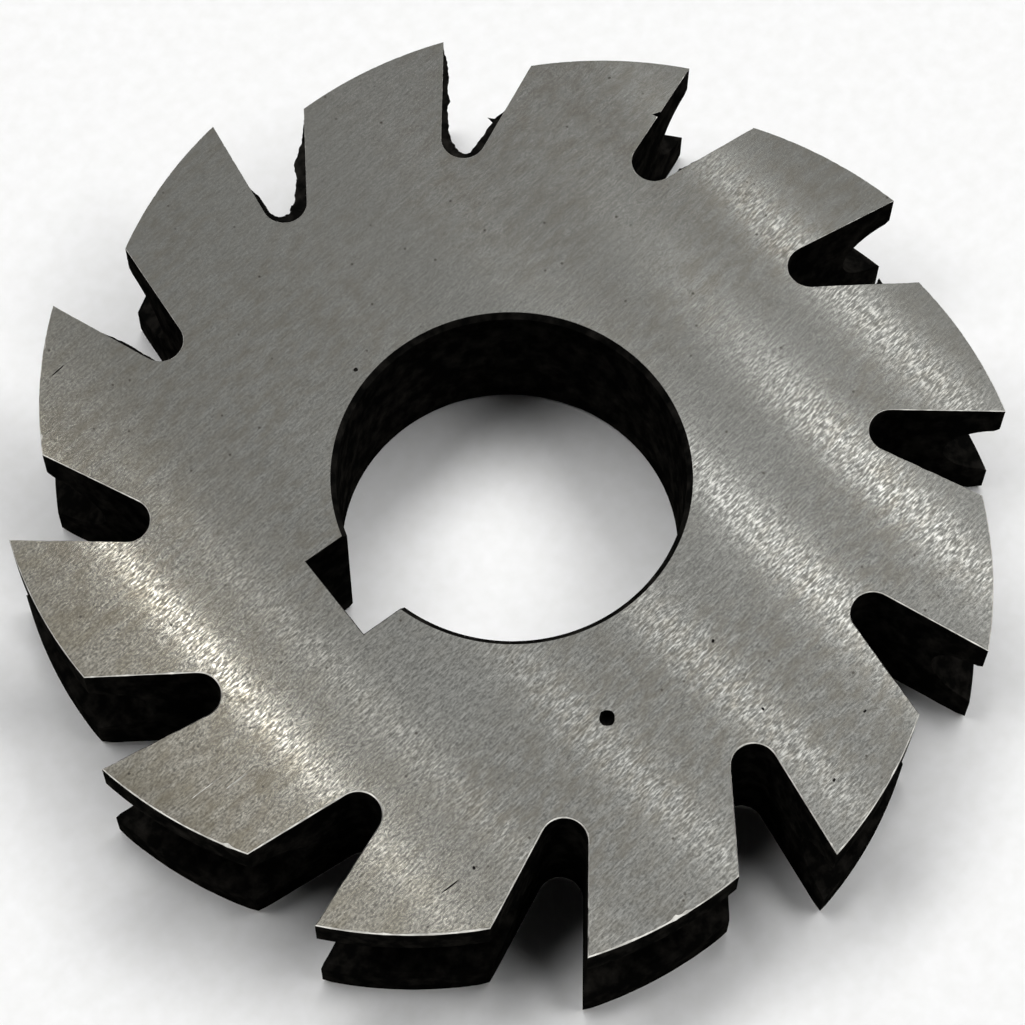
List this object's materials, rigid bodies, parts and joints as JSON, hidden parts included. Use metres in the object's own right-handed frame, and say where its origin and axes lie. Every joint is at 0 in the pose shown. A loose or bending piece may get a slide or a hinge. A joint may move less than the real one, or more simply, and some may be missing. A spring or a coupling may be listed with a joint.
{
  "type": "concave milling cutter",
  "caption": "Flat disc milling cutter with form-relieved teeth, a keyed bore and a half-round groove round its rim, for cutting rounded convex edges.",
  "frame": {"origin": "on the bore axis, in the plane of the lower side face", "axes": "+Z along the bore axis, from the lower side face to the upper one; +X from the bore axis through the middle of the keyway; the cutter lies flat on its lower side face"},
  "size_m": [0.063, 0.063, 0.012],
  "materials": {
    "ground_steel": "ground side faces, dark heat-treated scale on the gullets, tooth backs and bore"
  },
  "bodies": {
    "root": {"cutter_body": "ground_steel"}
  },
  "joints": []
}
